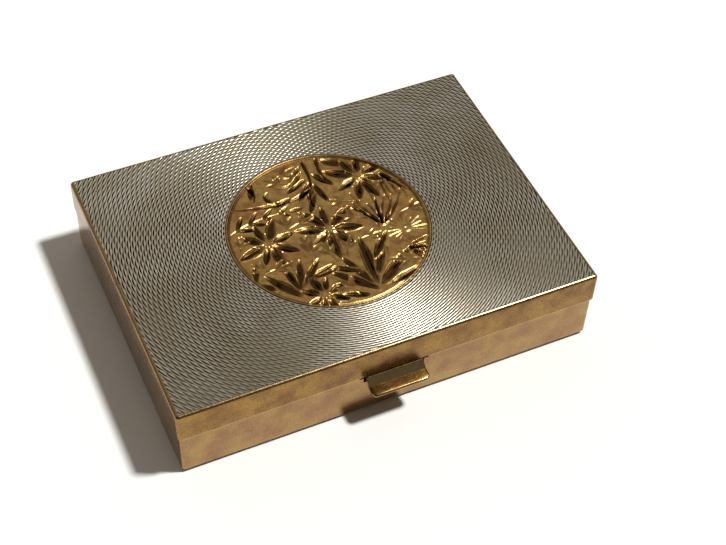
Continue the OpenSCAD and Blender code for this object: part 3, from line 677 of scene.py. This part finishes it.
def woven_net():
    """Plain-woven net: threads that pass over and under each other. Their spacing is coarser than
    real, to keep the mesh small."""
    low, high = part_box("sifter_net")
    pitch, thick = 0.85 * MM, 0.06 * MM
    lift = (high.z - low.z) / 2 - thick
    middle = (low + high) / 2
    points, faces = [], []
    for way in (0, 1):
        along, across = high.x - middle.x, high.y - middle.y
        if way == 1:
            along, across = across, along
        count = int(2 * across / pitch)
        steps = int(2 * along / pitch) * 2 + 1
        s = np.linspace(-along, along, steps)
        for k in range(count + 1):
            offset = (k - count / 2) * pitch
            swing = lift * np.cos(math.pi * (s / pitch + k + way)) * (1 if way else -1)
            start_at = len(points)
            for turn in range(4):
                c, d = math.cos(turn * math.pi / 2) * thick, math.sin(turn * math.pi / 2) * thick
                for here, up in zip(s, swing):
                    flat = (here, offset + c) if way == 0 else (offset + c, here)
                    points.append((middle.x + flat[0], middle.y + flat[1], middle.z + up + d))
            for turn in range(4):
                a, b = start_at + turn * steps, start_at + (turn + 1) % 4 * steps
                faces += [(a + i, a + i + 1, b + i + 1, b + i) for i in range(steps - 1)]
            faces += [[start_at + t * steps for t in range(4)],
                      [start_at + t * steps + steps - 1 for t in (3, 2, 1, 0)]]
    made = piece("sifter_mesh", points, faces, "base", NET, ["sifter_net"], "net")


def puff():
    """A flat velour puff: a crowned pad, a satin back gathered into its seam, and a ribbon to hold it."""
    low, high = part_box("puff_pad")
    columns, rows = 190, 120
    x, y, edge = rounded_grid(low, high, 5.0 * MM, columns, rows)
    crown = (1 - edge ** 7) ** 0.5
    nap = wavy(x, y, 0.7, 2) * 0.05 + wavy(x, y, 6, 4) * 0.1
    half = (high.z - low.z) / 2
    middle = (high.z + low.z) / 2
    top = middle + half * crown * 0.97 + nap * crown * MM * 0.3
    under = middle - half * crown + (0.1 + nap) * crown * MM
    under = np.maximum(under, low.z)
    slab = closed_slab(np.stack([x, y, top], -1), np.stack([x, y, under - 0.02 * MM], -1), columns, rows)
    pad = piece("puff_velour_pad", *slab, "base", VELOUR, ["puff_pad"], "velour")

    low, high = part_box("puff_back")
    columns, rows = 150, 96
    x, y, edge = rounded_grid(low, high, 5.0 * MM, columns, rows)
    centre = (low + high) / 2
    angle = np.arctan2((y - centre.y) * 1.6, x - centre.x)
    pucker = 0.07 * np.sin(angle * 46 + 2 * np.sin(angle * 5)) * np.clip((edge - 0.62) / 0.38, 0, 1)
    rise = 0.2 * (1 - edge ** 4) - 0.55 * edge ** 14 + pucker + 0.05 * wavy(x, y, 7, 8)
    sheet_top = high.z - 0.18 * MM + rise * MM
    slab = closed_slab(np.stack([x, y, sheet_top], -1), np.stack([x, y, sheet_top - 0.14 * MM], -1),
                       columns, rows)
    back = piece("puff_satin_back", *slab, "base", SATIN, ["puff_back"], "satin")

    low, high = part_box("puff_ribbon")
    columns, rows = 90, 22
    u, v = np.meshgrid(np.linspace(-1, 1, columns), np.linspace(-1, 1, rows))
    centre = (low + high) / 2
    width = (high.y - low.y) / 2
    x = centre.x + u * (high.x - low.x) / 2
    y = centre.y + v * width * (1 - 0.05 * np.cos(math.pi * u) * np.abs(u))
    arch = 0.55 * (1 - u ** 2) + 0.04 * np.cos(v * math.pi) - 0.42 * u ** 10
    ribs = 0.025 * np.sin(u * 60) * (1 - u ** 2)
    z = low.z + (0.1 + arch + ribs) * MM
    x, y, z = x.ravel(), y.ravel(), z.ravel()
    slab = closed_slab(np.stack([x, y, z + 0.12 * MM], -1), np.stack([x, y, z], -1), columns, rows)
    ribbon = piece("puff_ribbon_band", *slab, "base", RIBBON, ["puff_ribbon"], "satin")


# ---------------------------------------------------------------- make everything

# thin gilding rubbed on brass: warm and mottled, its stains brown, and the lid's rolled top edge worn paler;
# the base's pale top edge is a painted highlight, and the tab's paler upper slope is painted light
LID_GILT = gilt("worn_gilt_brass_lid", "#AE884A", "#8A6440", "#4E361C", (0.18, 0.3), 3.5, 0.2, stains=0.6,
                speckle=0.45, fade=(2, 14.0, 14.35, "#A8906C"))
# painted highlight: the base is painted pale along its top edge, just under the lid's overhang, to draw a
# bright line along the seam
BASE_GILT = gilt("gilt_brass_base_worn_with_painted_highlight", "#BC9A60", "#A67C58", "#5E4326", (0.18, 0.3), 3.5, 0.2, stains=0.45,
                 speckle=0.45, fade=(2, 8.35, 8.6, "#DCC8A0"))
# painted light: the tab is painted paler from the slot out to its crease than on the level part beyond,
# which lightens its upper slope and leaves the level part darker
TAB_GILT = gilt("gilt_brass_tab_worn_with_painted_light", "#A08554", "#876C45", "#5E4326", (0.17, 0.23), 2.5, 0.5,
                relief=0.0001, fade=(1, -26.9, -26.6, "#C2A878"))
# gilding kept from wear and brushed one way: an even, satin yellow
INNER_GILT = gilt("satin_gilt_inner", "#DDB874", "#D2AA68", "#A07B48", (0.24, 0.36), 12.0, 0.12,
                  (1, 0.05, 1), stains=0.3)
# bare drawn brass: darker, with fine lines along the drawing
BRASS = gilt("drawn_brass_hinge", "#B8924E", "#9A763C", "#4A3418", (0.22, 0.36), 3.0, 0.1, (0.05, 1, 1))
# hardened spring steel: cold grey, with a little brown
STEEL = gilt("spring_steel", "#9C9A96", "#85827D", "#5A4632", (0.24, 0.4), 3.0, 0.12)
# cream net, pink velour with a strong sheen, glossy satin and ribbon, and matt grey card
NET = cloth("cotton_net", "#F2E6D2", "#C9B490", 0.3, 0.1, 0.8)
VELOUR = cloth("cotton_velour", "#F0D3C0", "#D3A48C", 1.0, 0.25, 0.95)
SATIN = cloth("rose_satin", "#E9BFAE", "#CF9C8A", 0.4, 0.16, 0.36, (1, 0.2, 1))
RIBBON = cloth("ivory_satin_ribbon", "#F3E3CF", "#D9BFA2", 0.4, 0.16, 0.34, (0.2, 1, 1))
CARD = cloth("grey_card", "#8A8072", "#6C6356", 0.0, 0.4, 0.9)

engraved_plate()
floral_disc()
thumb_tab()
powder_cake()
woven_net()
puff()

for node, name, finish, body, slot, edge in (
        ("lid_shell", "lid_pressed_shell", LID_GILT, "lid", "gilt_case", 0.07),
        ("base_shell", "base_pressed_shell", BASE_GILT, "base", "gilt_case", 0.07),
        ("base_deck", "inner_deck", INNER_GILT, "base", "gilt_inner", 0.08),
        ("powder_well", "drawn_powder_well", INNER_GILT, "base", "gilt_inner", 0.08),
        ("sifter_frame", "sifter_rim", INNER_GILT, "base", "gilt_inner", 0.08),
        ("powder_door", "inner_door", INNER_GILT, "door", "gilt_inner", 0.08),
        ("door_hinge_leaf", "inner_door_leaf", INNER_GILT, "base", "gilt_inner", 0.04),
        ("mirror_frame", "mirror_bezel", INNER_GILT, "lid", "gilt_inner", 0.08),
        ("base_hinge_leaf", "hinge_leaf_below", BRASS, "base", "hinge_brass", 0.05),
        ("lid_hinge_leaf", "hinge_leaf_above", BRASS, "lid", "hinge_brass", 0.05),
        ("hinge_pin", "hinge_rod", BRASS, "base", "hinge_brass", 0.05),
        ("lid_striker", "striker_strip", STEEL, "lid", "spring_steel", 0.05),
        ("catch_lever", "catch_lever_pressed", STEEL, "catch", "spring_steel", 0.05),
        ("catch_bracket", "catch_bracket_pressed", STEEL, "base", "spring_steel", 0.05),
        ("catch_spring", "catch_leaf_spring", STEEL, "base", "spring_steel", 0.03),
        ("catch_pin", "catch_rod", STEEL, "base", "spring_steel", 0.05),
        ("door_spring", "door_coil_spring", STEEL, "base", "spring_steel", 0),
        ("door_hinge_pin", "door_rod", STEEL, "base", "spring_steel", 0.03),
        ("mirror_glass", "mirror_plate", mirror(), "lid", "mirror_glass", 0.12),
        ("mirror_backing", "backing_board", CARD, "lid", "backing_card", 0.05)):
    refined(node, name, finish, body, edge)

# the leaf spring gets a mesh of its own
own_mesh(bpy.data.objects["catch_leaf_spring"])

# ---------------------------------------------------------------- floor, light and camera

FLOOR_HALF = 1.5        # metres from the middle of the floor to its edge
corners = [(x * FLOOR_HALF, y * FLOOR_HALF, cad_low.z) for x, y in ((-1, -1), (1, -1), (1, 1), (-1, 1))]
floor = piece("paper_floor", corners, [(0, 1, 2, 3)], None, white_paper())

scene = bpy.context.scene
scene.view_settings.view_transform = "Standard"

world = bpy.data.worlds.new("dim_room")
scene.world = world
world.use_nodes = True
sky = world.node_tree
direction = add(sky, "ShaderNodeTexCoord").outputs["Generated"]


def toward(x, y, z):
    """How directly each direction of the sky faces the given one."""
    return add(sky, "ShaderNodeVectorMath", {1: tuple(Vector((x, y, z)).normalized())}, {0: direction},
               operation="DOT_PRODUCT").outputs["Value"]


# a broad window behind and above the case, and a weak reflection of the room in front of it
window = spread(sky, toward(0.0, 0.75, 0.66), 0.4, 1.0, 0.025, 0.55)
room = spread(sky, toward(0.1, -0.75, 0.6), 0.6, 1.0, 0.0, 0.12)
glow = add(sky, "ShaderNodeMath", links={0: window, 1: room}, operation="ADD").outputs[0]
sky.nodes["Background"].inputs["Color"].default_value = linear("#FFF3E4")
sky.links.new(glow, sky.nodes["Background"].inputs["Strength"])

# one lamp, high and to the right, small enough for a clear shadow
lamp = bpy.data.lights.new("soft_lamp", "SUN")
lamp.energy = 3.5
lamp.angle = math.radians(6)
lamp.color = linear("#FFFEFC")[:3]
sun = bpy.data.objects.new("soft_lamp", lamp)
scene.collection.objects.link(sun)
sun.rotation_mode = "QUATERNION"
sun.rotation_quaternion = Vector((0.43, -0.16, 0.89)).to_track_quat("Z", "Y")

# a long lens, above the case and in front of its left corner
view = bpy.data.cameras.new("view")
view.lens = 74.97
view.sensor_width = 36.0
view.clip_start = 0.01
camera = bpy.data.objects.new("view", view)
scene.collection.objects.link(camera)
camera.location = (-0.0670, -0.1482, 0.1931)
camera.rotation_euler = [math.radians(a) for a in (40.622, -1.805, -24.260)]
scene.camera = camera
